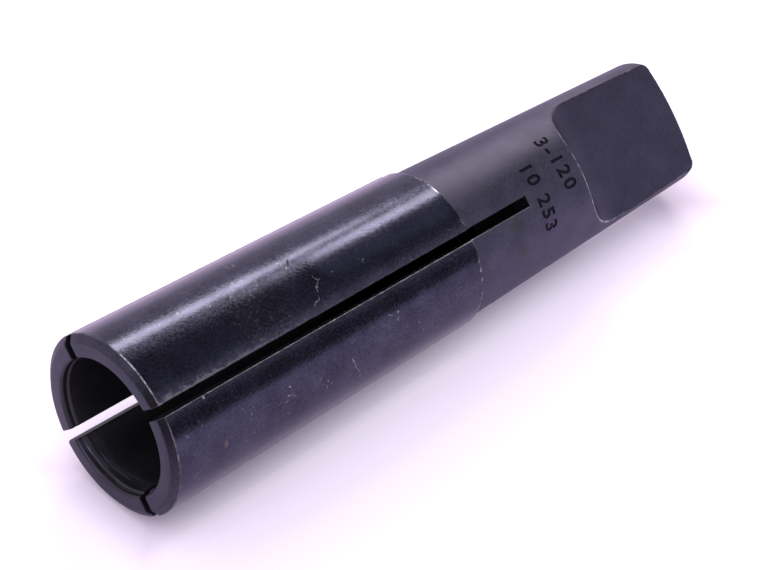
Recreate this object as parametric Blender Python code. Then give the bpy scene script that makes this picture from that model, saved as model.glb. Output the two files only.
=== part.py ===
"""Split sleeve tap driver with a Morse no. 3 taper outside and a tang, made as one piece.

Metres, +Z up. The driver is modelled along its own axis, with the mouth at x = 0 and the tang
towards +X, and is then laid down as in the photo, on the outside of the finger between two
slots, with its slots and its tang's flats at 45 degrees.
"""
import bpy
import bmesh
from math import atan, cos, pi, radians, sin, sqrt, tan
from mathutils import Vector

# The sleeve outside: a Morse no. 3 taper from the mouth to the shoulder.
MOUTH_RADIUS = 0.0119
TAPER = 0.0251                    # loss of radius per metre along the axis
LENGTH = 0.0944                   # mouth face to the middle of the domed end
SHOULDER_AT = 0.0510
MOUTH_CHAMFER_LONG = 0.0007
MOUTH_CHAMFER_DEEP = 0.00095

# The neck behind the shoulder.
SHOULDER_STEP = 0.0004
SHOULDER_EDGE = 0.00015
NECK_TAPER = 0.0381

# The hollow: lead-in, round bore, driving square and the drilled end behind it.
SLEEVE_WALL = 0.00323             # at the mouth, from the outside to the bore
LEAD_IN_DEEP = 0.0005
LEAD_IN_LONG = 0.0011
LEAD_IN_BEVEL = 0.0003
SHANK_DEPTH = 0.0430
SQUARE_DEPTH = 0.0180
SQUARE_TO_BORE = 0.765            # across the flats over the bore's diameter
CORNER_LAND = 0.00015             # the square's corners stay this far inside the bore's circle
DRILL_CLEARANCE = 0.00015         # the drilled end is this much smaller in radius than the flats
DRILL_RUN_OUT = 0.0030
DRILL_POINT = radians(59.0)       # half of a drill's point angle

# Four slots through the mouth, from two saw cuts that cross a little off the axis.
SLOT_WIDTH = 0.0014
SLOT_SHORT_OF_DRILLED_END = 0.0022
SLOT_CROSS_OFF_LEVEL = 0.00027
SLOT_CROSS_OFF_UPRIGHT = -0.00037
SLOT_CROSS_TURN = radians(1.4)

# The tang: two milled flats with the cutter's round run-out, and a domed end.
TANG_THICKNESS = 0.00794
TANG_FLAT_LENGTH = 0.0156
TANG_CUTTER_RADIUS = 0.00714
END_DOME = 0.00075
END_ROUNDING = 0.0012

# How it lies: turned about its own axis until a finger's middle is lowest.
LYING_TURN = radians(45.0)

SIDES = 96
CUT_MARGIN = 0.002

BORE_RADIUS = MOUTH_RADIUS - SLEEVE_WALL
DRILLED_END = SHANK_DEPTH + SQUARE_DEPTH + DRILL_RUN_OUT
SLOT_LENGTH = DRILLED_END - SLOT_SHORT_OF_DRILLED_END


def sleeve_radius(x):
    return MOUTH_RADIUS - TAPER * (x - MOUTH_CHAMFER_LONG)


def neck_radius(x):
    return sleeve_radius(SHOULDER_AT) - SHOULDER_STEP - NECK_TAPER * (x - SHOULDER_AT)


def add_mesh_object(name, build):
    """Make a mesh object from a function that fills a bmesh."""
    bm = bmesh.new()
    build(bm)
    bmesh.ops.recalc_face_normals(bm, faces=bm.faces)
    mesh = bpy.data.meshes.new(name)
    bm.to_mesh(mesh)
    bm.free()
    obj = bpy.data.objects.new(name, mesh)
    bpy.context.scene.collection.objects.link(obj)
    return obj


def turned(profile):
    """Fill a bmesh with the solid turned from (x, radius) points between two points on the axis."""
    def build(bm):
        rings = []
        for x, radius in profile[1:-1]:
            ring = []
            for i in range(SIDES):
                angle = 2.0 * pi * (i + 0.5) / SIDES
                ring.append(bm.verts.new((x, radius * cos(angle), radius * sin(angle))))
            rings.append(ring)
        for ring, after in zip(rings, rings[1:]):
            for i in range(SIDES):
                j = (i + 1) % SIDES
                bm.faces.new((ring[i], ring[j], after[j], after[i]))
        for (x, _), ring in ((profile[0], rings[0]), (profile[-1], rings[-1])):
            tip = bm.verts.new((x, 0.0, 0.0))
            for i in range(SIDES):
                bm.faces.new((tip, ring[i], ring[(i + 1) % SIDES]))
    return build


def prism(outline, lift, axis_points):
    """Fill a bmesh with an outline of 2D points carried between two places along a third axis."""
    def build(bm):
        low = [bm.verts.new(lift(point, axis_points[0])) for point in outline]
        high = [bm.verts.new(lift(point, axis_points[1])) for point in outline]
        bm.faces.new(low)
        bm.faces.new(high)
        for i in range(len(outline)):
            j = (i + 1) % len(outline)
            bm.faces.new((low[i], low[j], high[j], high[i]))
    return build


def body_profile():
    """The outside: mouth face, chamfer, sleeve, shoulder, neck, rounded edge and domed end."""
    points = [
        (0.0, 0.0),
        (0.0, MOUTH_RADIUS - MOUTH_CHAMFER_DEEP),
        (MOUTH_CHAMFER_LONG, MOUTH_RADIUS),
        (SHOULDER_AT - SHOULDER_EDGE, sleeve_radius(SHOULDER_AT - SHOULDER_EDGE)),
        (SHOULDER_AT, sleeve_radius(SHOULDER_AT) - SHOULDER_EDGE),
        (SHOULDER_AT, neck_radius(SHOULDER_AT)),
    ]
    edge = LENGTH - END_DOME - END_ROUNDING
    centre_radius = neck_radius(edge) - END_ROUNDING
    steps = 6
    for k in range(steps + 1):
        angle = 0.5 * pi * k / steps
        points.append((edge + END_ROUNDING * sin(angle), centre_radius + END_ROUNDING * cos(angle)))
    for share in (0.75, 0.5, 0.25):
        points.append((LENGTH - END_DOME * share ** 2, centre_radius * share))
    points.append((LENGTH, 0.0))
    return points


def hollow_profile():
    """The turned hollow: lead-in at the mouth, bore, and the drilled end with its cone."""
    drill_radius = SQUARE_TO_BORE * BORE_RADIUS - DRILL_CLEARANCE
    mouth_radius = BORE_RADIUS + LEAD_IN_DEEP
    return [
        (-CUT_MARGIN, 0.0),
        (-CUT_MARGIN, mouth_radius),
        (0.0, mouth_radius),
        (LEAD_IN_BEVEL, mouth_radius - 0.5 * LEAD_IN_DEEP),
        (LEAD_IN_LONG - LEAD_IN_BEVEL, mouth_radius - 0.5 * LEAD_IN_DEEP),
        (LEAD_IN_LONG, BORE_RADIUS),
        (SHANK_DEPTH, BORE_RADIUS),
        (SHANK_DEPTH, drill_radius),
        (DRILLED_END, drill_radius),
        (DRILLED_END + drill_radius / tan(DRILL_POINT), 0.0),
    ]


def square_outline():
    """The driving square as (y, z) points, its corners cut round, in line with the slots."""
    half = SQUARE_TO_BORE * BORE_RADIUS
    reach = BORE_RADIUS - CORNER_LAND
    half_corner = pi / 4.0 - atan(sqrt(reach ** 2 - half ** 2) / half)
    steps = 6
    points = []
    for corner in range(4):
        for k in range(steps + 1):
            angle = corner * pi / 2.0 + half_corner * (2.0 * k / steps - 1.0)
            points.append((reach * cos(angle), reach * sin(angle)))
    return points


def slot_outline():
    """One saw cut, as (along the axis, across the cut) points."""
    half = 0.5 * SLOT_WIDTH
    return [(-CUT_MARGIN, -half), (SLOT_LENGTH, -half), (SLOT_LENGTH, half), (-CUT_MARGIN, half)]


def flat_outline():
    """What the tang's cutter removes above one flat, as (x, z) points."""
    start = LENGTH - TANG_FLAT_LENGTH
    low = 0.5 * TANG_THICKNESS
    top = max(MOUTH_RADIUS, low + TANG_CUTTER_RADIUS) + CUT_MARGIN
    points = [(LENGTH + CUT_MARGIN, low)]
    steps = 14
    for k in range(steps + 1):
        angle = 0.5 * pi * k / steps
        points.append((start - TANG_CUTTER_RADIUS * sin(angle),
                       low + TANG_CUTTER_RADIUS * (1.0 - cos(angle))))
    points.append((start - TANG_CUTTER_RADIUS, top))
    points.append((LENGTH + CUT_MARGIN, top))
    return points


def cut(target, cutter):
    cutter.hide_render = True
    cutter.display_type = 'WIRE'
    modifier = target.modifiers.new(cutter.name, 'BOOLEAN')
    modifier.operation = 'DIFFERENCE'
    modifier.solver = 'EXACT'
    modifier.object = cutter


# Start from an empty scene.
for old in list(bpy.data.objects):
    bpy.data.objects.remove(old)

# The turned body, then what is bored, broached, sawn and milled away.
driver = add_mesh_object("split_sleeve", turned(body_profile()))
reach = MOUTH_RADIUS + CUT_MARGIN
slot_cuts = [
    add_mesh_object("cut_slot_level", prism(
        slot_outline(), lambda p, y: (p[0], y, p[1]), (-reach, reach))),
    add_mesh_object("cut_slot_upright", prism(
        slot_outline(), lambda p, z: (p[0], p[1], z), (-reach, reach))),
]
for slot_cut in slot_cuts:
    slot_cut.location = (0.0, SLOT_CROSS_OFF_LEVEL, SLOT_CROSS_OFF_UPRIGHT)
    slot_cut.rotation_euler = (SLOT_CROSS_TURN, 0.0, 0.0)
cutters = slot_cuts + [
    add_mesh_object("cut_hollow", turned(hollow_profile())),
    add_mesh_object("cut_square", prism(
        square_outline(), lambda p, x: (x, p[0], p[1]),
        (SHANK_DEPTH - CUT_MARGIN, SHANK_DEPTH + SQUARE_DEPTH))),
    add_mesh_object("cut_flat_upper", prism(
        flat_outline(), lambda p, y: (p[0], y, p[1]), (-reach, reach))),
    add_mesh_object("cut_flat_lower", prism(
        flat_outline(), lambda p, y: (p[0], y, -p[1]), (-reach, reach))),
]
for cutter in cutters:
    cutter.parent = driver
    cut(driver, cutter)

driver.data.shade_smooth()
driver.data.set_sharp_from_angle(angle=radians(24.0))

# Black-oxided steel.
steel = bpy.data.materials.new("black_oxide_steel")
steel.use_nodes = True
shader = steel.node_tree.nodes["Principled BSDF"]
shader.inputs["Base Color"].default_value = (0.045, 0.042, 0.065, 1.0)
shader.inputs["Metallic"].default_value = 0.9
shader.inputs["Roughness"].default_value = 0.35
driver.data.materials.append(steel)

# Lay it down: the taper's lowest line is level, with the box's bottom centre at the origin.
driver.rotation_euler = (LYING_TURN, atan(TAPER), 0.0)
bpy.context.view_layer.update()
shape = driver.evaluated_get(bpy.context.evaluated_depsgraph_get())
corners = [shape.matrix_world @ vertex.co for vertex in shape.data.vertices]
low = Vector((min(c.x for c in corners), min(c.y for c in corners), min(c.z for c in corners)))
high = Vector((max(c.x for c in corners), max(c.y for c in corners), max(c.z for c in corners)))
driver.location = (-0.5 * (low.x + high.x), -0.5 * (low.y + high.y), -low.z)
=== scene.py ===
"""Looks of the split sleeve tap driver: one piece of black-oxidised steel on a white table."""

from math import atan, atan2, cos, hypot, pi, radians, sin, tan

import bmesh
import bpy
from mathutils import Euler, Matrix, Vector


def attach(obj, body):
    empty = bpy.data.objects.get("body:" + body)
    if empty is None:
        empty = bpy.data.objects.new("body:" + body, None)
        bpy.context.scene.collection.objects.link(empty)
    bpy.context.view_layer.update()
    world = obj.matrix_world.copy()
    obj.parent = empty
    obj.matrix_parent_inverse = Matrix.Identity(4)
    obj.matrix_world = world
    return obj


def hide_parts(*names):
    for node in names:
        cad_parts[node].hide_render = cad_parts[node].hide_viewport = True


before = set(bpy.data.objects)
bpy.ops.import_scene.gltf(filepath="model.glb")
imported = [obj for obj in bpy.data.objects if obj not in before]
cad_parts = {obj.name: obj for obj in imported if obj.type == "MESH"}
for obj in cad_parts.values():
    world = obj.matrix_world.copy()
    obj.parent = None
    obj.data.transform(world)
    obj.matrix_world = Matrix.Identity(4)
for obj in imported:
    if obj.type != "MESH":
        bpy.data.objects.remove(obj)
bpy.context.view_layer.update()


# The blank: a steel bar turned to a standard machine taper outside, with a stepped neck, and
# bored from its mouth. Its profile is spun about the driver's own axis, which is x here, with
# the mouth at x = 0, and the finished piece is laid down at the end as the CAD part lies.
MOUTH_RADIUS = 0.0119
TAPER = 0.0251                    # loss of radius per metre along the axis
LENGTH = 0.0944
SHOULDER_AT = 0.0510
SHOULDER_STEP = 0.0004
NECK_TAPER = 0.0381
CHAMFER_LONG = 0.0007
CHAMFER_DEEP = 0.00095
END_DOME = 0.00075
END_ROUNDING = 0.0012
BORE_RADIUS = 0.00867
BORE_DEPTH = 0.0430
LEAD_IN_DEEP = 0.0005
LEAD_IN_LONG = 0.0011
LEAD_IN_BEVEL = 0.0003
SLOT_LENGTH = 0.0618
COLUMNS = 240

FINISHES = ["ground", "turned", "faced", "chamfered", "bored", "sawn", "milled", "stamped",
            "rubbed"]


def sleeve_radius(x):
    return MOUTH_RADIUS - TAPER * (x - CHAMFER_LONG)


def neck_radius(x):
    return sleeve_radius(SHOULDER_AT) - SHOULDER_STEP - NECK_TAPER * (x - SHOULDER_AT)


def stations(start, end, steps):
    """Evenly spaced places along the axis, both ends among them."""
    return [start + k * (end - start) / steps for k in range(steps + 1)]


def spin_profile(bm, points, finish):
    """Spin a run of (x, radius) points into a surface that has one finish."""
    verts = [bm.verts.new((x, radius, 0.0)) for x, radius in points]
    edges = [bm.edges.new(pair) for pair in zip(verts, verts[1:])]
    before = len(bm.faces)
    bmesh.ops.spin(bm, geom=verts + edges, cent=(0, 0, 0), axis=(1, 0, 0),
                   angle=2.0 * pi, steps=COLUMNS, use_merge=True)
    bm.faces.ensure_lookup_table()
    for face in bm.faces[before:]:
        face.material_index = FINISHES.index(finish)


blank = bmesh.new()
spin_profile(blank, [(0.0, MOUTH_RADIUS - CHAMFER_DEEP), (CHAMFER_LONG, MOUTH_RADIUS)], "chamfered")
spin_profile(blank, [(x, sleeve_radius(x)) for x in stations(CHAMFER_LONG, SHOULDER_AT, 16)],
             "ground")
spin_profile(blank, [(SHOULDER_AT, sleeve_radius(SHOULDER_AT)),
                     (SHOULDER_AT, neck_radius(SHOULDER_AT))], "ground")

# The neck runs to the rounded and domed end of the tang.
round_start = LENGTH - END_DOME - END_ROUNDING
round_middle = neck_radius(round_start) - END_ROUNDING
neck_stations = stations(SHOULDER_AT, SLOT_LENGTH, 4)
neck_stations += stations(SLOT_LENGTH, round_start, 16)[1:]
spin_profile(blank, [(x, neck_radius(x)) for x in neck_stations], "turned")
end_profile = [(round_start + END_ROUNDING * sin(a), round_middle + END_ROUNDING * cos(a))
               for a in (k * pi / 16 for k in range(9))]
end_profile += [(LENGTH - END_DOME * share ** 2, round_middle * share)
                for share in (0.83, 0.66, 0.5, 0.33, 0.16, 0.0)]
spin_profile(blank, end_profile, "turned")

# The mouth's ring, its lead-in with two turned bands, and the round bore.
lead_in_radius = BORE_RADIUS + LEAD_IN_DEEP
band_radius = BORE_RADIUS + 0.5 * LEAD_IN_DEEP
spin_profile(blank, [(0.0, MOUTH_RADIUS - CHAMFER_DEEP), (0.0, lead_in_radius)], "faced")
spin_profile(blank, [(0.0, lead_in_radius), (LEAD_IN_BEVEL, band_radius),
                     (LEAD_IN_LONG - LEAD_IN_BEVEL, band_radius), (LEAD_IN_LONG, BORE_RADIUS)],
             "bored")
spin_profile(blank, [(x, BORE_RADIUS) for x in stations(LEAD_IN_LONG, BORE_DEPTH, 8)], "bored")


# The hollow's far end: a step down to the driving square, left round here, and then a drilled
# hole that ends in the cone of the drill's point.
SQUARE_END = 0.0610
CORNER_LAND = 0.00015             # the square's corners stay this far inside the bore's circle
DRILLED_RADIUS = 0.00648
DRILLED_END = 0.0640
DRILL_POINT = radians(59.0)       # half of a drill's point angle

corner_reach = BORE_RADIUS - CORNER_LAND
spin_profile(blank, [(BORE_DEPTH, BORE_RADIUS), (BORE_DEPTH, corner_reach)], "bored")
spin_profile(blank, [(x, corner_reach) for x in stations(BORE_DEPTH, SQUARE_END, 4)], "bored")
spin_profile(blank, [(SQUARE_END, corner_reach), (SQUARE_END, DRILLED_RADIUS),
                     (SLOT_LENGTH, DRILLED_RADIUS), (DRILLED_END, DRILLED_RADIUS),
                     (DRILLED_END + DRILLED_RADIUS / tan(DRILL_POINT), 0.0)], "bored")
bmesh.ops.remove_doubles(blank, verts=blank.verts, dist=1e-7)


# The four slots: two saw cuts that cross a little off the axis and split the sleeve into
# fingers. The columns of faces nearest each cut are drawn to the saw's width and taken out as
# far as the cut goes, and its two walls and its end are closed.
SLOT_WIDTH = 0.0014
CUTS_CROSS = Vector((0.00027, -0.00037))
CUTS_TURN = radians(1.4)
QUARTER = COLUMNS // 4
LEAST_RADIUS = 0.0030             # within it, a column keeps the angle that it has here
TOUCHING = 1e-6


def slot_axes(slot):
    """The directions along and across a slot, seen from the mouth."""
    turn = slot * 0.5 * pi + CUTS_TURN
    return Vector((cos(turn), sin(turn))), Vector((-sin(turn), cos(turn)))


def slot_edge_angle(slot, side, radius):
    """Angle about the axis at which one edge of a slot meets a circle of this radius."""
    along, across = slot_axes(slot)
    radius = max(radius, LEAST_RADIUS)
    start = CUTS_CROSS + across * (side * 0.5 * SLOT_WIDTH)
    short = start.dot(along)
    point = start + along * ((short ** 2 - start.length_squared + radius ** 2) ** 0.5 - short)
    return atan2(point.y, point.x)


def off_slot(slot, point):
    """How far a point is from a slot's middle, or a large number on the axis's far side."""
    along, across = slot_axes(slot)
    out = Vector((point.y, point.z)) - CUTS_CROSS
    return out.dot(across) if out.dot(along) > 0.0 else 1.0


def at_slot_end(vert):
    return abs(vert.co.x - SLOT_LENGTH) < TOUCHING


for vert in blank.verts:
    radius = hypot(vert.co.y, vert.co.z)
    if radius < TOUCHING:
        continue
    column = round(atan2(vert.co.z, vert.co.y) / (2.0 * pi / COLUMNS)) % COLUMNS
    slot, step = divmod(column, QUARTER)
    start = slot_edge_angle(slot, 1.0, radius)
    if step == 0:
        angle = start - 0.5 * ((start - slot_edge_angle(slot, -1.0, radius)) % (2.0 * pi))
    else:
        span = (slot_edge_angle(slot + 1, -1.0, radius) - start) % (2.0 * pi)
        angle = start + span * (step - 1) / (QUARTER - 2)
    vert.co.y = radius * cos(angle)
    vert.co.z = radius * sin(angle)

sawn_away = []
for face in blank.faces:
    middle = face.calc_center_median()
    in_a_slot = any(abs(off_slot(k, middle)) < 0.49 * SLOT_WIDTH for k in range(4))
    if middle.x < SLOT_LENGTH and in_a_slot:
        sawn_away.append(face)
bmesh.ops.delete(blank, geom=sawn_away, context='FACES')

for slot in range(4):
    rim = [edge for edge in blank.edges if edge.is_boundary
           and all(abs(off_slot(slot, vert.co)) < 0.51 * SLOT_WIDTH for vert in edge.verts)]
    end = [edge for edge in rim if all(at_slot_end(vert) for vert in edge.verts)]
    for side in (-1.0, 1.0):
        wall = [edge for edge in rim if edge not in end
                and all(abs(off_slot(slot, vert.co) - side * 0.5 * SLOT_WIDTH) < TOUCHING
                        for vert in edge.verts)]
        closing = blank.edges.new(tuple({v for edge in wall for v in edge.verts if at_slot_end(v)}))
        made = bmesh.ops.contextual_create(blank, geom=wall + [closing])
        made["faces"][0].material_index = FINISHES.index("sawn")
        end.append(closing)
    made = bmesh.ops.contextual_create(blank, geom=end)
    made["faces"][0].material_index = FINISHES.index("sawn")


# The driving square: broached below the round bore, its sides facing between the slots and
# its corners left on the bore's circle.
SQUARE_TO_BORE = 0.765            # across the flats over the bore's diameter
CLEAR_BY = 1e-5

square_half = SQUARE_TO_BORE * BORE_RADIUS
for vert in blank.verts:
    radius = hypot(vert.co.y, vert.co.z)
    if (BORE_DEPTH - TOUCHING < vert.co.x < SQUARE_END + TOUCHING
            and DRILLED_RADIUS + CLEAR_BY < radius < BORE_RADIUS - CLEAR_BY):
        angle = atan2(vert.co.z, vert.co.y) % (0.5 * pi) - 0.25 * pi
        pull = min(1.0, square_half / cos(angle) / radius)
        vert.co.y *= pull
        vert.co.z *= pull

bmesh.ops.recalc_face_normals(blank, faces=blank.faces)


# The edges: every outer edge was broken lightly with a file after sawing, which leaves a
# narrow flat on it, where the oxide is rubbed thin.
EDGE_BREAK = 0.00010
BROKEN_FROM = radians(25.0)
RUBBED = FINISHES.index("rubbed")


def sharp_edges(bm, least):
    """Outer edges whose two faces turn by more than this angle."""
    return [edge for edge in bm.edges
            if len(edge.link_faces) == 2 and edge.is_convex and edge.calc_face_angle() > least]


bmesh.ops.bevel(blank, geom=sharp_edges(blank, BROKEN_FROM), offset=EDGE_BREAK, affect='EDGES',
                segments=1, profile=0.5, material=RUBBED)


# The tang: two flats milled with a round cutter, whose run-out rises to the neck. They fit the
# drift slot of a drill spindle, and the curved rim of the upper one is worn the most.
TANG_HALF = 0.00397
FLAT_LENGTH = 0.0156
CUTTER_RADIUS = 0.00714
RIM_WEAR = 0.00016
RIM_FROM = radians(18.0)
BLOCK_TOP = 0.0140                # what is milled away reaches past the driver on every side
BLOCK_HALF_WIDE = 0.0200
BLOCK_PAST_END = 0.0020
MILLED = FINISHES.index("milled")


def mesh_piece(bm, name):
    mesh = bpy.data.meshes.new(name)
    bm.to_mesh(mesh)
    bm.free()
    piece = bpy.data.objects.new(name, mesh)
    bpy.context.scene.collection.objects.link(piece)
    return piece


driver = mesh_piece(blank, "driver")
cutter = bmesh.new()
flat_start = LENGTH - FLAT_LENGTH
for side in (-1.0, 1.0):
    foot = cutter.verts.new((flat_start, -BLOCK_HALF_WIDE, side * TANG_HALF))
    arc = bmesh.ops.spin(cutter, geom=[foot], axis=(0, side, 0), angle=0.5 * pi, steps=24,
                         cent=(flat_start, -BLOCK_HALF_WIDE, side * (TANG_HALF + CUTTER_RADIUS)))
    top = [vert for vert in arc["geom_last"] if isinstance(vert, bmesh.types.BMVert)][0]
    outline = [edge for edge in cutter.edges if edge.verts[0].co.z * side > 0.0]
    far_low = cutter.verts.new((LENGTH + BLOCK_PAST_END, -BLOCK_HALF_WIDE, side * TANG_HALF))
    far_high = cutter.verts.new((LENGTH + BLOCK_PAST_END, -BLOCK_HALF_WIDE, side * BLOCK_TOP))
    near_high = cutter.verts.new((top.co.x, -BLOCK_HALF_WIDE, side * BLOCK_TOP))
    for pair in ((foot, far_low), (far_low, far_high), (far_high, near_high), (near_high, top)):
        outline.append(cutter.edges.new(pair))
    made = bmesh.ops.contextual_create(cutter, geom=outline)
    sides = bmesh.ops.extrude_face_region(cutter, geom=made["faces"])
    bmesh.ops.translate(cutter, vec=(0.0, 2.0 * BLOCK_HALF_WIDE, 0.0),
                        verts=[v for v in sides["geom"] if isinstance(v, bmesh.types.BMVert)])
for face in cutter.faces:
    face.material_index = MILLED


# The numbers: two rows of plain digits, punched one by one round the neck, their feet towards
# the mouth. Each row has its text, the place of its feet and the angle at which it starts.
LETTER_SIZE = 0.0028947368        # the digits come out about 2.1 mm tall
DEPTH_TAKEN_AT = 0.000825         # how far above its feet a digit's depth is measured
DIGIT_SPACING = 1.26
STROKE_SWELL = 0.00008
PUNCH_LONG = 0.0005
PUNCH_DEPTH = 0.00009
ROWS = (("3-120", 0.06825, 51.0), ("10 253", 0.06325, 64.0))

for digits, foot, first in ROWS:
    text = bpy.data.curves.new("digits", 'FONT')
    text.body = digits
    text.size = LETTER_SIZE
    text.space_character = DIGIT_SPACING
    text.extrude = PUNCH_LONG
    text.offset = STROKE_SWELL
    text.resolution_u = 3
    letters = bpy.data.objects.new("digits", text)
    bpy.context.scene.collection.objects.link(letters)
    bpy.context.view_layer.update()
    flat = bpy.data.meshes.new_from_object(letters)
    known = set(cutter.verts)
    cutter.from_mesh(flat)
    punched = [vert for vert in cutter.verts if vert not in known]
    punch_radius = neck_radius(foot + DEPTH_TAKEN_AT) - PUNCH_DEPTH + PUNCH_LONG
    for vert in punched:
        angle = radians(first) + vert.co.x / punch_radius
        radius = punch_radius + vert.co.z - NECK_TAPER * (vert.co.y - DEPTH_TAKEN_AT)
        vert.co = (foot + vert.co.y, radius * cos(angle), radius * sin(angle))
    for face in cutter.faces:
        if face.verts[0] not in known:
            face.material_index = FINISHES.index("stamped")
    bpy.data.objects.remove(letters)
bmesh.ops.remove_doubles(cutter, verts=cutter.verts, dist=TOUCHING)
bmesh.ops.recalc_face_normals(cutter, faces=cutter.faces)
mill = mesh_piece(cutter, "mill")

# The mill and the punches cut the blank together, and then the rims of the flats are worn.
milling = driver.modifiers.new("milling", 'BOOLEAN')
milling.operation = 'DIFFERENCE'
milling.solver = 'EXACT'
milling.object = mill
depsgraph = bpy.context.evaluated_depsgraph_get()
milled_mesh = bpy.data.meshes.new_from_object(driver.evaluated_get(depsgraph))
driver.modifiers.clear()
bpy.data.objects.remove(mill)
worked = bmesh.new()
worked.from_mesh(milled_mesh)
rims = [edge for edge in sharp_edges(worked, RIM_FROM)
        if sum(1 for face in edge.link_faces if face.material_index == MILLED) == 1]
bmesh.ops.bevel(worked, geom=rims, offset=RIM_WEAR, affect='EDGES', segments=2,
                profile=0.5, material=RUBBED, clamp_overlap=False)


# The driver lies as the CAD part does: on the middle of a finger, with its slots at 45 degrees
# and the lowest line of its taper level. Its broken edges are flat, and the rest is smooth.
LAID_AT = Vector((-0.04704784, 0.0, 0.01190812))    # the middle of the mouth
LAID_TURN = Euler((radians(45.0), atan(TAPER), 0.0))
SMOOTH_UP_TO = radians(20.0)

laid = Matrix.Translation(LAID_AT) @ LAID_TURN.to_matrix().to_4x4()
bmesh.ops.transform(worked, matrix=laid, verts=worked.verts)
worked.to_mesh(driver.data)
worked.free()
driver.data.shade_smooth()
for face in driver.data.polygons:
    face.use_smooth = face.material_index != RUBBED
driver.data.set_sharp_from_angle(angle=SMOOTH_UP_TO)
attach(driver, "root")
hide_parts("split_sleeve")


# The black finish: hot black oxide on every face, with a blue cast. Each face has the marks of
# how it was cut, and the oxide is rubbed, scratched and dusty where the photo shows it. Several
# marks are painted light, some of them only in part: painted highlights and sheen on the sleeve,
# neck, edges and bore, and painted shade on the chamfer, deep in the hollow and on the slot
# walls. All patterns are in millimetres in the driver's own frame, with x along its axis.
MM = 1000.0                       # millimetres in a metre
MICRON = 0.000001
EDGE_TINT = (0.86, 0.82, 0.90, 1.0)
BARE_STEEL = (0.42, 0.41, 0.45, 1.0)


def join(tree, value, socket):
    """Feed a socket from another socket, or set it to a plain value."""
    if isinstance(value, bpy.types.NodeSocket):
        tree.links.new(value, socket)
    else:
        socket.default_value = value


def math_node(tree, operation, *values):
    node = tree.nodes.new("ShaderNodeMath")
    node.operation = operation
    for value, socket in zip(values, node.inputs):
        join(tree, value, socket)
    return node.outputs[0]


def vector_node(tree, operation, *values):
    node = tree.nodes.new("ShaderNodeVectorMath")
    node.operation = operation
    for value, socket in zip(values, node.inputs):
        join(tree, value, socket)
    return node.outputs["Value" if operation in ('LENGTH', 'DOT_PRODUCT', 'DISTANCE') else "Vector"]


def scaled(tree, vector, factor):
    """A vector or a colour times a number."""
    node = tree.nodes.new("ShaderNodeVectorMath")
    node.operation = 'SCALE'
    join(tree, vector, node.inputs[0])
    join(tree, factor, node.inputs["Scale"])
    return node.outputs["Vector"]


def axes(tree, place):
    """The X, Y and Z of a place, each as a socket of its own."""
    node = tree.nodes.new("ShaderNodeSeparateXYZ")
    tree.links.new(place, node.inputs["Vector"])
    return node.outputs


def ramp_node(tree, value, low, high):
    """Rise smoothly from 0 to 1 as the value goes from low to high."""
    node = tree.nodes.new("ShaderNodeMapRange")
    node.interpolation_type = 'SMOOTHSTEP'
    join(tree, value, node.inputs["Value"])
    join(tree, low, node.inputs["From Min"])
    join(tree, high, node.inputs["From Max"])
    return node.outputs["Result"]


def noise_node(tree, place, stretch, detail=2.0, roughness=0.5):
    """Noise whose features are about one over the stretch, in millimetres."""
    node = tree.nodes.new("ShaderNodeTexNoise")
    join(tree, vector_node(tree, 'MULTIPLY', place, stretch), node.inputs["Vector"])
    node.inputs["Scale"].default_value = 1.0
    node.inputs["Detail"].default_value = detail
    node.inputs["Roughness"].default_value = roughness
    return node.outputs["Fac"]


def bump_node(tree, height, depth, shader, before=None):
    """Raise the surface by a height times a depth, on top of the bump before it."""
    node = tree.nodes.new("ShaderNodeBump")
    node.inputs["Distance"].default_value = depth
    join(tree, height, node.inputs["Height"])
    if before is not None:
        join(tree, before, node.inputs["Normal"])
    tree.links.new(node.outputs["Normal"], shader.inputs["Normal"])
    return node.outputs["Normal"]


def mix_node(tree, mask, below, above):
    node = tree.nodes.new("ShaderNodeMix")
    node.data_type = 'RGBA'
    join(tree, mask, node.inputs["Factor"])
    join(tree, below, node.inputs["A"])
    join(tree, above, node.inputs["B"])
    return node.outputs["Result"]


def paint(tree, colour, mask, strength, paint_colour):
    """Lay a colour over another where a mask is, up to a strength."""
    return mix_node(tree, math_node(tree, 'MULTIPLY', mask, strength), colour, paint_colour)


def new_group(name, inputs, outputs):
    """A node group with these sockets, as (tree, what comes in by name, where the results go)."""
    tree = bpy.data.node_groups.new(name, "ShaderNodeTree")
    for label, kind in inputs:
        tree.interface.new_socket(name=label, in_out='INPUT', socket_type="NodeSocket" + kind)
    for label, kind in outputs:
        tree.interface.new_socket(name=label, in_out='OUTPUT', socket_type="NodeSocket" + kind)
    return tree, tree.nodes.new("NodeGroupInput").outputs, tree.nodes.new("NodeGroupOutput").inputs


def place_group(tree, group, **values):
    """Put a group into a material or another group, with its own values."""
    node = tree.nodes.new("ShaderNodeGroup")
    node.node_tree = group
    for label, value in values.items():
        join(tree, value, node.inputs[label.capitalize()])
    return node.outputs


# Cloudy oxide: soft blotches and a fine grain in how dark the finish is.
cloudy, given, gives = new_group(
    "cloudy_oxide", [("Place", "Vector"), ("Tone", "Color"), ("Depth", "Float")],
    [("Colour", "Color"), ("Grain", "Float")])
blotch = noise_node(cloudy, given["Place"], (0.28, 0.28, 0.28), 3.0)
grain = noise_node(cloudy, given["Place"], (3.2, 3.2, 3.2), 3.0, 0.6)
swing = math_node(cloudy, 'ADD', math_node(cloudy, 'MULTIPLY_ADD', blotch, 1.2, -0.6),
                  math_node(cloudy, 'MULTIPLY_ADD', grain, 1.6, -0.8))
level = math_node(cloudy, 'MULTIPLY_ADD', swing, given["Depth"], 1.0)
cloudy.links.new(scaled(cloudy, given["Tone"], level), gives["Colour"])
cloudy.links.new(grain, gives["Grain"])

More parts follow.
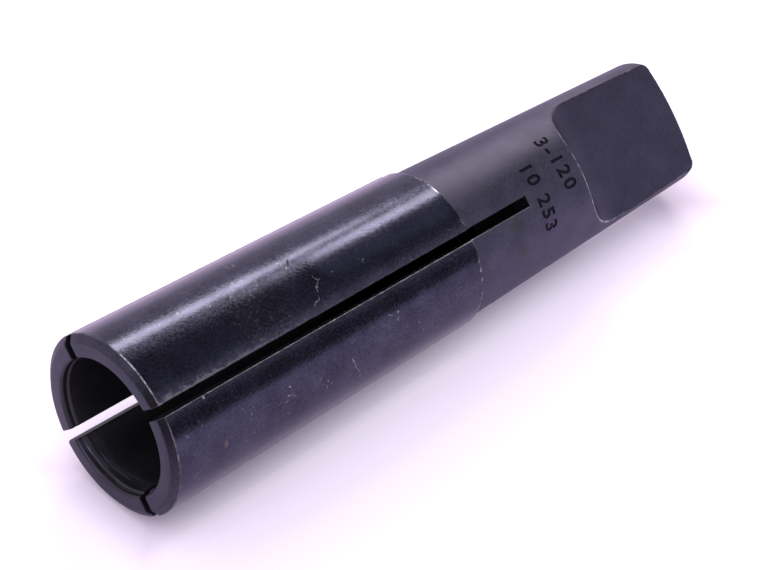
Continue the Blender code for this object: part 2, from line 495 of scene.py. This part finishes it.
# Hair scratches: thin broken lines that follow the contours of stretched noise.
scratched, given, gives = new_group(
    "hair_scratches", [("Place", "Vector"), ("Amount", "Float"), ("Width", "Float")],
    [("Mask", "Float")])
lines = 0.0
for stretch, thin in (((0.25, 1.3, 1.3), 0.004), ((1.0, 0.45, 0.6), 0.003), ((0.7, 1.1, 0.3), 0.004)):
    contour = math_node(scratched, 'ABSOLUTE', math_node(
        scratched, 'SUBTRACT', noise_node(scratched, given["Place"], stretch, 1.0), 0.5))
    reach = math_node(scratched, 'MULTIPLY', given["Width"], thin)
    lines = math_node(scratched, 'MAXIMUM', lines, ramp_node(scratched, contour, reach, 0.0))
elsewhere = vector_node(scratched, 'ADD', given["Place"], (31.0, 7.0, 3.0))
gaps = noise_node(scratched, elsewhere, (0.8, 0.8, 0.8), 2.0)
kept = ramp_node(scratched, gaps, math_node(scratched, 'SUBTRACT', 0.75, given["Amount"]), 0.80)
scratched.links.new(math_node(scratched, 'MULTIPLY', lines, kept), gives["Mask"])

# Dust and bright flecks: small dots of many sizes, most of them missing.
flecked, given, gives = new_group(
    "flecks", [("Place", "Vector"), ("Amount", "Float"), ("Size", "Float")], [("Mask", "Float")])
cells = flecked.nodes.new("ShaderNodeTexVoronoi")
cells.inputs["Scale"].default_value = 1.0
spread = vector_node(flecked, 'MULTIPLY', given["Place"], (1.15, 1.15, 1.15))
flecked.links.new(spread, cells.inputs["Vector"])
lot = flecked.nodes.new("ShaderNodeSeparateColor")
flecked.links.new(cells.outputs["Color"], lot.inputs["Color"])
size = math_node(flecked, 'MULTIPLY', given["Size"], lot.outputs["Green"])
dot = ramp_node(flecked, cells.outputs["Distance"], size, 0.0)
drawn = math_node(flecked, 'LESS_THAN', lot.outputs["Red"], given["Amount"])
flecked.links.new(math_node(flecked, 'MULTIPLY', dot, drawn), gives["Mask"])

# A rubbed line: a band beside an edge that narrows, widens and breaks off.
rubbed_line, given, gives = new_group(
    "rubbed_line", [("Place", "Vector"), ("Away", "Float"), ("Width", "Float")],
    [("Mask", "Float")])
ragged = noise_node(rubbed_line, given["Place"], (1.1, 1.1, 1.1), 4.0, 0.65)
band = math_node(rubbed_line, 'MULTIPLY', given["Width"], ramp_node(rubbed_line, ragged, 0.30, 0.70))
rubbed_line.links.new(ramp_node(rubbed_line, given["Away"], band, 0.0), gives["Mask"])

# A streak: one straight mark from a start to an end, with soft sides.
streak, given, gives = new_group(
    "streak", [("Place", "Vector"), ("Start", "Vector"), ("End", "Vector"), ("Width", "Float")],
    [("Mask", "Float")])
run = vector_node(streak, 'SUBTRACT', given["End"], given["Start"])
out = vector_node(streak, 'SUBTRACT', given["Place"], given["Start"])
share = math_node(streak, 'DIVIDE', vector_node(streak, 'DOT_PRODUCT', out, run),
                  vector_node(streak, 'DOT_PRODUCT', run, run))
share.node.use_clamp = True
away = vector_node(streak, 'DISTANCE', out, scaled(streak, run, share))
full_within = math_node(streak, 'MULTIPLY', given["Width"], 0.35)
streak.links.new(ramp_node(streak, away, given["Width"], full_within), gives["Mask"])

# A patch: one round mark with a ragged outline.
patch, given, gives = new_group(
    "patch", [("Place", "Vector"), ("Middle", "Vector"), ("Radius", "Float"), ("Ragged", "Float")],
    [("Mask", "Float")])
away = vector_node(patch, 'DISTANCE', given["Place"], given["Middle"])
torn = math_node(patch, 'MULTIPLY', given["Ragged"], math_node(
    patch, 'MULTIPLY_ADD', noise_node(patch, given["Place"], (2.5, 2.5, 2.5), 4.0, 0.7), 2.0, -1.0))
reach = math_node(patch, 'MULTIPLY', given["Radius"], math_node(patch, 'ADD', 1.0, torn))
full_within = math_node(patch, 'MULTIPLY', reach, 0.3)
patch.links.new(ramp_node(patch, away, reach, full_within), gives["Mask"])

# How far a point of the outside is from the nearest slot's edge, and on which side of the
# near slot it is.
beside_slot, given, gives = new_group(
    "beside_slot", [("Place", "Vector")], [("Away", "Float"), ("Side", "Float")])
off_lines = []
for direction in slot_axes(0):
    reached = vector_node(beside_slot, 'DOT_PRODUCT', given["Place"],
                          (0.0, direction.x, direction.y))
    off_lines.append(math_node(beside_slot, 'SUBTRACT', reached, MM * CUTS_CROSS.dot(direction)))
nearest = math_node(beside_slot, 'MINIMUM', math_node(beside_slot, 'ABSOLUTE', off_lines[0]),
                    math_node(beside_slot, 'ABSOLUTE', off_lines[1]))
edge_away = math_node(beside_slot, 'MAXIMUM', 0.0, math_node(
    beside_slot, 'SUBTRACT', nearest, MM * 0.5 * SLOT_WIDTH))
past_end = math_node(beside_slot, 'MAXIMUM', 0.0, math_node(
    beside_slot, 'SUBTRACT', axes(beside_slot, given["Place"])["X"], MM * SLOT_LENGTH))
beside_slot.links.new(math_node(beside_slot, 'ADD', edge_away, past_end), gives["Away"])
beside_slot.links.new(off_lines[0], gives["Side"])


def strokes(tree, place, lines, width):
    """One mask of straight marks through runs of points, in millimetres."""
    mask = 0.0
    for line in lines:
        for start, end in zip(line, line[1:]):
            mark = place_group(tree, streak, place=place, start=start, end=end, width=width)["Mask"]
            mask = math_node(tree, 'MAXIMUM', mask, mark)
    return mask


def on_sleeve(lines):
    """Points of the sleeve's surface from millimetres behind the mouth and degrees round it."""
    placed = []
    for line in lines:
        radii = [MM * sleeve_radius(x / MM) for x, _ in line]
        placed.append([(x, radius * cos(radians(turn)), radius * sin(radians(turn)))
                       for (x, turn), radius in zip(line, radii)])
    return placed


def oxide_material(finish):
    """A material on the driver, as (its node tree, its shader, the place in millimetres)."""
    material = bpy.data.materials.new(finish + "_black_oxide")
    material.use_nodes = True
    tree = material.node_tree
    lay = tree.nodes.new("ShaderNodeMapping")
    lay.vector_type = 'TEXTURE'
    lay.inputs["Location"].default_value = LAID_AT
    lay.inputs["Rotation"].default_value = LAID_TURN
    lay.inputs["Scale"].default_value = (1.0 / MM, 1.0 / MM, 1.0 / MM)
    tree.links.new(tree.nodes.new("ShaderNodeTexCoord").outputs["Object"], lay.inputs["Vector"])
    driver.data.materials.append(material)
    shader = tree.nodes["Principled BSDF"]
    shader.inputs["Metallic"].default_value = 1.0
    shader.inputs["Specular Tint"].default_value = EDGE_TINT
    return tree, shader, lay.outputs["Vector"]


def finish_with(tree, shader, colour, roughness):
    """Give a material its colour and its roughness."""
    join(tree, colour, shader.inputs["Base Color"])
    join(tree, roughness, shader.inputs["Roughness"])


def grainy(tree, oxide, swing, least):
    """A roughness that follows the oxide's grain."""
    return math_node(tree, 'MULTIPLY_ADD', oxide["Grain"], swing, least)


# The ground sleeve: the glossiest face, scuffed beside the upper edge of the near slot, with
# lint, hairs, a dark nick and a spot of rust where the photo shows them. Each mark is a run of
# places on the sleeve, as millimetres behind the mouth and degrees round from the first slot.
LINT = [[(28.01, 64.5), (28.16, 68.5), (28.41, 71.1)],
        [(28.60, 67.4), (28.16, 68.5), (27.50, 71.3), (26.60, 78.2), (25.85, 80.7)],
        [(34.23, 70.7), (34.97, 70.3), (35.59, 69.5)],
        [(35.10, 71.8), (34.97, 70.3), (35.00, 68.5)],
        [(30.58, 66.6), (30.74, 67.1)]]
BLOB = [[(6.40, 93.9), (6.44, 95.1)]]
HAIRS = [[(28.47, 122.7), (29.15, 133.1), (29.99, 142.7), (30.89, 143.9), (30.75, 139.0)],
         [(35.01, 108.5), (36.58, 110.5), (36.38, 116.4), (35.80, 120.4)],
         [(18.21, 115.8), (18.64, 121.1), (19.17, 126.0)],
         [(17.56, 125.3), (18.64, 121.1)],
         [(24.42, 125.7), (24.14, 130.7), (23.91, 134.4)],
         [(21.00, 24.1), (21.32, 28.0), (21.75, 26.1), (21.50, 23.1)]]
NICK = [[(27.14, 45.3), (26.85, 47.5), (26.64, 49.0)]]
RUST = [[(7.84, 127.6), (7.90, 130.4)]]

DUST_COLOUR = (0.26, 0.235, 0.19, 1.0)
HAZE_AND_SHEEN_COLOUR = (0.36, 0.36, 0.58, 1.0)
GRIT_COLOUR = (0.33, 0.30, 0.24, 1.0)
CURL_COLOUR = (0.30, 0.27, 0.21, 1.0)
RUST_COLOUR = (0.125, 0.105, 0.080, 1.0)
NICK_COLOUR = (0.006, 0.005, 0.008, 1.0)

tree, shader, place = oxide_material("ground")
along = axes(tree, place)["X"]
oxide = place_group(tree, cloudy, place=place, tone=(0.0435, 0.043, 0.068, 1.0), depth=0.95)

# What is scattered: hair scratches, dust, grit and short curls, thickest in the scuffed patch.
scuffed = place_group(tree, patch, place=place, middle=(19.0, 3.4, 10.9), radius=6.5, ragged=0.6)["Mask"]
fine = scaled(tree, place, 2.3)
hairs = place_group(tree, scratched, place=place, width=1.5,
                    amount=math_node(tree, 'MULTIPLY_ADD', scuffed, 0.16, 0.20))["Mask"]
dots = place_group(tree, flecked, place=place, size=0.24,
                   amount=math_node(tree, 'MULTIPLY_ADD', scuffed, 0.55, 0.10))["Mask"]
grit = place_group(tree, flecked, place=fine, size=0.50,
                   amount=math_node(tree, 'MULTIPLY_ADD', scuffed, 0.50, 0.05))["Mask"]
curls = place_group(tree, scratched, place=fine, width=11.0,
                    amount=math_node(tree, 'MULTIPLY', scuffed, 0.30))["Mask"]
# Partly a haze on the oxide and partly a painted sheen: a lighter bluish band along the upper finger,
# beside the highlight, that stands in for the broad glow of the lamps.
haze_and_sheen = strokes(tree, place, [[(31.0, 5.6, 9.7), (49.0, 4.8, 9.5)]], 2.7)

# What is lighter: the upper lip of the slots, most near the mouth, partly rubbed and partly a
# painted highlight on the slots' lit side, and the two round edges, which are rubbed.
slot_side = place_group(tree, beside_slot, place=place)
mouth_fade = ramp_node(tree, along, 34.0, 2.0)
# Partly wear and partly a painted highlight: the band along the upper lip, on one side only.
lip = math_node(tree, 'MULTIPLY', math_node(tree, 'GREATER_THAN', slot_side["Side"], 0.0),
                math_node(tree, 'MULTIPLY_ADD', mouth_fade, 1.10, 0.38))
lip_strength = math_node(tree, 'MULTIPLY_ADD', mouth_fade, 0.22, 0.09)
slot_lighter = place_group(tree, rubbed_line, place=place, away=slot_side["Away"], width=lip)["Mask"]
ring_away = math_node(tree, 'SUBTRACT', along, MM * CHAMFER_LONG)
ring_rub = place_group(tree, rubbed_line, place=place, away=ring_away, width=0.30)["Mask"]
step_away = math_node(tree, 'SUBTRACT', MM * SHOULDER_AT, along)
step_rub = place_group(tree, rubbed_line, place=place, away=step_away, width=0.50)["Mask"]

# What lies in its own place: lint and hairs, which curl a little, the nick and the rust.
curl = tree.nodes.new("ShaderNodeTexNoise")
curl.inputs["Scale"].default_value = 1.1
tree.links.new(place, curl.inputs["Vector"])
curled = vector_node(tree, 'MULTIPLY_ADD', curl.outputs["Color"], (1.2, 1.2, 1.2), vector_node(
    tree, 'SUBTRACT', place, (0.6, 0.6, 0.6)))
lint = math_node(tree, 'MAXIMUM', strokes(tree, curled, on_sleeve(LINT), 0.13),
                 strokes(tree, place, on_sleeve(BLOB), 0.22))
long_hairs = strokes(tree, curled, on_sleeve(HAIRS), 0.11)
rust = strokes(tree, place, on_sleeve(RUST), 0.36)
nick = strokes(tree, place, on_sleeve(NICK), 0.16)

colour = oxide["Colour"]
for mask, strength, laid_on in (
        (hairs, 0.35, BARE_STEEL), (dots, 0.45, DUST_COLOUR), (haze_and_sheen, 0.120, HAZE_AND_SHEEN_COLOUR),
        (grit, 0.50, GRIT_COLOUR), (curls, 0.50, CURL_COLOUR), (slot_lighter, lip_strength, BARE_STEEL),
        (ring_rub, 0.22, BARE_STEEL), (step_rub, 0.70, BARE_STEEL), (lint, 0.75, BARE_STEEL),
        (long_hairs, 0.38, BARE_STEEL), (rust, 0.60, RUST_COLOUR), (nick, 0.90, NICK_COLOUR)):
    colour = paint(tree, colour, mask, strength, laid_on)
dull = grainy(tree, oxide, 0.28, 0.045)
for dulled in (hairs, rust, slot_lighter, lint):
    dull = math_node(tree, 'MULTIPLY_ADD', dulled, 0.12, dull)
finish_with(tree, shader, colour, dull)
grinding = noise_node(tree, place, (14.0, 1.5, 1.5), 2.0)
normal = bump_node(tree, grinding, 1.2 * MICRON, shader)
bump_node(tree, oxide["Grain"], 12.0 * MICRON, shader, normal)

# The turned neck: duller, with fine rings left by the turning tool, a lighter band along its
# upper side that is partly handled bare and partly a painted highlight, and with two brownish
# smudges beside the end of the near slot.
NECK_DUST_COLOUR = (0.24, 0.22, 0.19, 1.0)
HANDLED_AND_HIGHLIGHT_COLOUR = (0.40, 0.36, 0.48, 1.0)
SMUDGE_COLOUR = (0.050, 0.050, 0.042, 1.0)
SMUDGES = (((58.7, -2.0, 9.75), 1.6), ((58.8, -5.3, 8.40), 1.5))

tree, shader, place = oxide_material("turned")
oxide = place_group(tree, cloudy, place=place, tone=(0.067, 0.065, 0.099, 1.0), depth=0.60)
hairs = place_group(tree, scratched, place=place, amount=0.12, width=1.0)["Mask"]
dots = place_group(tree, flecked, place=place, amount=0.12, size=0.14)["Mask"]
slot_side = place_group(tree, beside_slot, place=place)
slot_lighter = place_group(tree, rubbed_line, place=place, away=slot_side["Away"], width=0.22)["Mask"]
# Partly wear and partly a painted highlight: the lighter band along the neck's upper side.
handled_and_highlight = strokes(tree, place, [[(52.0, 6.3, 7.9), (84.0, 7.3, 4.6)]], 4.2)
colour = oxide["Colour"]
for mask, strength, laid_on in ((hairs, 0.14, BARE_STEEL), (dots, 0.30, NECK_DUST_COLOUR),
                                (slot_lighter, 0.12, BARE_STEEL), (handled_and_highlight, 0.095, HANDLED_AND_HIGHLIGHT_COLOUR)):
    colour = paint(tree, colour, mask, strength, laid_on)
for middle, radius in SMUDGES:
    smudge = place_group(tree, patch, place=place, middle=middle, radius=radius, ragged=0.9)["Mask"]
    colour = paint(tree, colour, smudge, 0.45, SMUDGE_COLOUR)
finish_with(tree, shader, colour, grainy(tree, oxide, 0.30, 0.36))
rings = noise_node(tree, place, (9.0, 0.25, 0.25), 3.0)
normal = bump_node(tree, rings, 2.0 * MICRON, shader)
bump_node(tree, oxide["Grain"], 11.0 * MICRON, shader, normal)

# The faced ring of the mouth: flat and grey.
tree, shader, place = oxide_material("faced")
oxide = place_group(tree, cloudy, place=place, tone=(0.047, 0.048, 0.066, 1.0), depth=0.55)
dots = place_group(tree, flecked, place=place, amount=0.25, size=0.14)["Mask"]
colour = paint(tree, oxide["Colour"], dots, 0.20, BARE_STEEL)
finish_with(tree, shader, colour, grainy(tree, oxide, 0.16, 0.34))
bump_node(tree, oxide["Grain"], 5.0 * MICRON, shader)

# The chamfer round the mouth: dark, with grey-green speckles, and a painted shade that makes it
# darkest beside the near slot.
CHAMFER_PAINTED_SHADE = (0.008, 0.007, 0.009, 1.0)
SPECKLE_COLOUR = (0.085, 0.085, 0.070, 1.0)

tree, shader, place = oxide_material("chamfered")
oxide = place_group(tree, cloudy, place=place, tone=(0.041, 0.040, 0.058, 1.0), depth=0.9)
dots = place_group(tree, flecked, place=scaled(tree, place, 2.2), amount=0.50, size=0.42)["Mask"]
across = axes(tree, place)["Y"]
lopsided = math_node(tree, 'MAXIMUM', across, math_node(tree, 'MULTIPLY', across, -0.65))
# Painted shade: the chamfer is darkened towards the near slot and the slot opposite it.
colour = paint(tree, oxide["Colour"], ramp_node(tree, lopsided, 6.5, 1.0), 0.85, CHAMFER_PAINTED_SHADE)
colour = paint(tree, colour, dots, 0.45, SPECKLE_COLOUR)
finish_with(tree, shader, colour, grainy(tree, oxide, 0.25, 0.30))
bump_node(tree, oxide["Grain"], 12.0 * MICRON, shader)

# The bored hollow: near black, with a painted shade that makes it blacker deep inside, and with
# the rings of the boring tool, which get a painted sheen just inside the mouth, on its low side.
RING_SHEEN_COLOUR = (0.31, 0.29, 0.50, 1.0)
DEEP_PAINTED_SHADE = (0.003, 0.003, 0.004, 1.0)

tree, shader, place = oxide_material("bored")
along, across = axes(tree, place)["X"], axes(tree, place)["Y"]
oxide = place_group(tree, cloudy, place=place, tone=(0.022, 0.021, 0.026, 1.0), depth=0.35)
hairs = place_group(tree, scratched, place=place, amount=0.24, width=1.0)["Mask"]
rings = noise_node(tree, place, (7.0, 0.2, 0.2), 3.0)
# Painted sheen: the tool rings are lightened just inside the mouth, on its low side.
ring_sheen = math_node(tree, 'MULTIPLY', ramp_node(tree, rings, 0.50, 0.66),
                         ramp_node(tree, along, 4.0, 0.8))
low_side = math_node(tree, 'MULTIPLY_ADD', ramp_node(tree, across, 1.0, -2.0), 0.9, 0.1)
# Painted shade: blacker deep inside the hollow.
deep = ramp_node(tree, along, 30.0, 46.0)
colour = paint(tree, oxide["Colour"], math_node(tree, 'MULTIPLY', ring_sheen, low_side), 0.40,
               RING_SHEEN_COLOUR)
colour = paint(tree, colour, hairs, 0.16, BARE_STEEL)
colour = paint(tree, colour, deep, 0.85, DEEP_PAINTED_SHADE)
finish_with(tree, shader, colour, grainy(tree, oxide, 0.20, 0.28))
tree.links.new(math_node(tree, 'MULTIPLY_ADD', deep, 0.4, 0.6), shader.inputs["Metallic"])
bump_node(tree, rings, 8.0 * MICRON, shader)

# The sawn slot walls: black and rough, with a weak reflection; their darkness is partly the
# oxide and partly a painted shade inside the slots.
tree, shader, place = oxide_material("sawn")
oxide = place_group(tree, cloudy, place=place, tone=(0.008, 0.008, 0.011, 1.0), depth=0.5)
finish_with(tree, shader, oxide["Colour"], 0.55)
shader.inputs["Metallic"].default_value = 0.5
shader.inputs["Specular IOR Level"].default_value = 0.15
bump_node(tree, oxide["Grain"], 15.0 * MICRON, shader)

# The milled flats of the tang: an even, dull slate.
tree, shader, place = oxide_material("milled")
oxide = place_group(tree, cloudy, place=place, tone=(0.056, 0.053, 0.087, 1.0), depth=0.42)
dots = place_group(tree, flecked, place=place, amount=0.08, size=0.12)["Mask"]
colour = paint(tree, oxide["Colour"], dots, 0.15, BARE_STEEL)
finish_with(tree, shader, colour, grainy(tree, oxide, 0.14, 0.42))
bump_node(tree, oxide["Grain"], 5.0 * MICRON, shader)

# The punched numbers: black at the bottom, where the oxide is never rubbed.
tree, shader, place = oxide_material("stamped")
oxide = place_group(tree, cloudy, place=place, tone=(0.017, 0.016, 0.023, 1.0), depth=0.6)
finish_with(tree, shader, oxide["Colour"], 0.5)

# The broken edges: oxide worn through to bare steel in places on the outside, most of all on the
# near finger's rim and the curved rim of the tang, and not at all inside. On the near finger's
# rim, where the lamps are reflected, the bare steel is partly wear and partly a painted highlight.
EDGE_OXIDE = (0.036, 0.034, 0.047, 1.0)
BEHIND_SLOTS = 64.0               # further back than this, only the tang has broken edges

tree, shader, place = oxide_material("rubbed")
spot = axes(tree, place)
ragged = ramp_node(tree, noise_node(tree, place, (0.9, 0.9, 0.9), 5.0, 0.7), 0.38, 0.72)
off_axis = vector_node(tree, 'LENGTH', vector_node(tree, 'MULTIPLY', place, (0.0, 1.0, 1.0)))
behind = math_node(tree, 'GREATER_THAN', spot["X"], BEHIND_SLOTS)
outside = math_node(tree, 'MAXIMUM', ramp_node(tree, off_axis, 8.9, 9.4), behind)
outside = math_node(tree, 'MULTIPLY', outside, ramp_node(tree, spot["X"], 0.30, 0.60))
mouth_rim = math_node(tree, 'LESS_THAN', spot["X"], 1.2)
# Partly wear and partly a painted highlight: most bare steel on the near finger's rim, on the part where
# the lamps are reflected.
near_rim_and_highlight = math_node(tree, 'MULTIPLY', mouth_rim, math_node(tree, 'GREATER_THAN', spot["Z"], 0.0))
for start, end in ((9.5, 7.0), (-1.0, 0.0)):
    near_rim_and_highlight = math_node(tree, 'MULTIPLY', near_rim_and_highlight, ramp_node(tree, spot["Y"], start, end))
on_step = math_node(tree, 'COMPARE', spot["X"], MM * SHOULDER_AT, 0.6)
on_neck = math_node(tree, 'COMPARE', spot["X"], 57.5, 5.5)
on_tang = math_node(tree, 'MULTIPLY', behind, ramp_node(tree, spot["X"], 81.5, 79.5))
on_tang = math_node(tree, 'MULTIPLY', on_tang, ramp_node(tree, spot["Y"], 7.5, 4.5))
exposed = 0.20
for where, share in ((mouth_rim, 0.04), (near_rim_and_highlight, 1.0), (on_step, 0.16), (on_neck, -0.14),
                     (on_tang, 0.75)):
    exposed = math_node(tree, 'MULTIPLY_ADD', where, share, exposed)
worn = math_node(tree, 'MULTIPLY', outside, math_node(tree, 'MULTIPLY', exposed, math_node(
    tree, 'MULTIPLY_ADD', ragged, 1.25, 0.12)))
worn.node.use_clamp = True
finish_with(tree, shader, mix_node(tree, worn, EDGE_OXIDE, BARE_STEEL), 0.36)


# The table: a smooth white sheet. To the camera and in reflections it is lifted towards white by
# a faint glow, which leaves out a strip under the driver, so that the shadow stays. The strip is
# shaped to the shadow, which makes it partly a painted shadow: it narrows towards the tang and
# widens past it, where it paints a shadow that the lamps don't cast. Each change has its start,
# end and size.
TABLE_HALF = 4.0
GLOW = 0.38
SHADOW_STRIP_HALF_LONG = 0.040
GLOW_STARTS = 0.0045
GLOW_FULL = 0.0140
SHADOW_STRIP_CHANGES = ((-0.045, 0.030, 0.0026), (0.038, 0.048, -0.0035))

floor = bmesh.new()
bmesh.ops.create_grid(floor, x_segments=1, y_segments=1, size=TABLE_HALF)
table_top = mesh_piece(floor, "table_top")
paper = bpy.data.materials.new("white_paper")
paper.use_nodes = True
tree = paper.node_tree
shader = tree.nodes["Principled BSDF"]
shader.inputs["Base Color"].default_value = (0.93, 0.82, 1.0, 1.0)
shader.inputs["Roughness"].default_value = 0.8
shader.inputs["Specular IOR Level"].default_value = 0.2
shader.inputs["Emission Color"].default_value = (0.95, 0.89, 1.0, 1.0)
spot = axes(tree, tree.nodes.new("ShaderNodeTexCoord").outputs["Object"])
# Painted shadow, in part: the glow fades out near the driver, in a strip bent to the shadow.
past_end = math_node(tree, 'SUBTRACT', math_node(tree, 'ABSOLUTE', spot["X"]), SHADOW_STRIP_HALF_LONG)
beside = math_node(tree, 'MAXIMUM', math_node(tree, 'ABSOLUTE', spot["Y"]), past_end)
for start, end, change in SHADOW_STRIP_CHANGES:
    beside = math_node(tree, 'MULTIPLY_ADD', ramp_node(tree, spot["X"], start, end), change, beside)
glow = math_node(tree, 'MULTIPLY', ramp_node(tree, beside, GLOW_STARTS, GLOW_FULL), GLOW)
seen = tree.nodes.new("ShaderNodeLightPath").outputs
straight = math_node(tree, 'MAXIMUM', seen["Is Camera Ray"], math_node(
    tree, 'MAXIMUM', seen["Is Glossy Ray"], seen["Is Transmission Ray"]))
tree.links.new(math_node(tree, 'MULTIPLY', glow, straight), shader.inputs["Emission Strength"])
table_top.data.materials.append(paper)


# The light: two small soft lamps behind the driver draw the bright band along its upper
# finger, and a pale surround lights the rest, with two darker patches in it.
LAMP_COLOUR = (1.0, 0.95, 0.84)
LAMP_DISTANCE = 0.60
LAMP_ROLL = radians(-7.5)
SURROUND = (0.97, 0.93, 1.0, 1.0)
SURROUND_STRENGTH = 1.12
PATCH_TINT = (0.95, 0.92, 1.1)
DARK_PATCHES = ((-2.0, 55.0, 20.0, 34.0, 0.23), (-56.0, 8.0, 7.0, 21.0, 0.15))


def direction(azimuth, elevation):
    """The way to a place in the surroundings, from degrees round from +X and degrees up."""
    a, e = radians(azimuth), radians(elevation)
    return Vector((cos(a) * cos(e), sin(a) * cos(e), sin(e)))


def soft_light(name, azimuth, elevation, size, power):
    """A rectangular lamp that faces the driver."""
    lamp = bpy.data.lights.new(name, 'AREA')
    lamp.shape = 'RECTANGLE'
    lamp.size, lamp.size_y = size
    lamp.energy = power
    lamp.color = LAMP_COLOUR
    light = bpy.data.objects.new(name, lamp)
    light.location = direction(azimuth, elevation) * LAMP_DISTANCE
    facing = light.location.to_track_quat('Z', 'Y')
    light.rotation_euler = (facing @ Euler((0.0, 0.0, LAMP_ROLL)).to_quaternion()).to_euler()
    bpy.context.scene.collection.objects.link(light)


soft_light("lamp_left", 53.0, 40.3, (0.17, 0.075), 0.58)
soft_light("lamp_right", 30.0, 43.6, (0.100, 0.100), 0.34)

# Each dark patch has its azimuth and elevation, the angles from its middle at which it is full
# and gone, and the brightness that it keeps.
world = bpy.data.worlds.new("studio")
world.use_nodes = True
tree = world.node_tree
heading = tree.nodes.new("ShaderNodeTexCoord").outputs["Generated"]
colour = SURROUND
for azimuth, elevation, inner, outer, shade in DARK_PATCHES:
    toward = vector_node(tree, 'DOT_PRODUCT', heading, direction(azimuth, elevation))
    within = ramp_node(tree, toward, cos(radians(outer)), cos(radians(inner)))
    colour = mix_node(tree, within, colour, (*(shade * part for part in PATCH_TINT), 1.0))
tree.links.new(colour, tree.nodes["Background"].inputs["Color"])
tree.nodes["Background"].inputs["Strength"].default_value = SURROUND_STRENGTH
bpy.context.scene.world = world
bpy.context.scene.view_settings.view_transform = 'Standard'


# The camera: a long lens that looks down on the mouth, from where the photo was taken.
CAMERA_PLACE = (-0.205706, -0.197520, 0.260893)
CAMERA_TURN = (0.8421366, -0.0468093, -0.7553768)
CAMERA_LENS = 143.63
SENSOR_WIDTH = 36.0
NEAREST_SEEN = 0.01

camera_data = bpy.data.cameras.new("camera")
camera_data.sensor_width = SENSOR_WIDTH
camera_data.lens = CAMERA_LENS
camera_data.clip_start = NEAREST_SEEN
camera = bpy.data.objects.new("camera", camera_data)
camera.location = CAMERA_PLACE
camera.rotation_euler = CAMERA_TURN
bpy.context.scene.collection.objects.link(camera)
bpy.context.scene.camera = camera
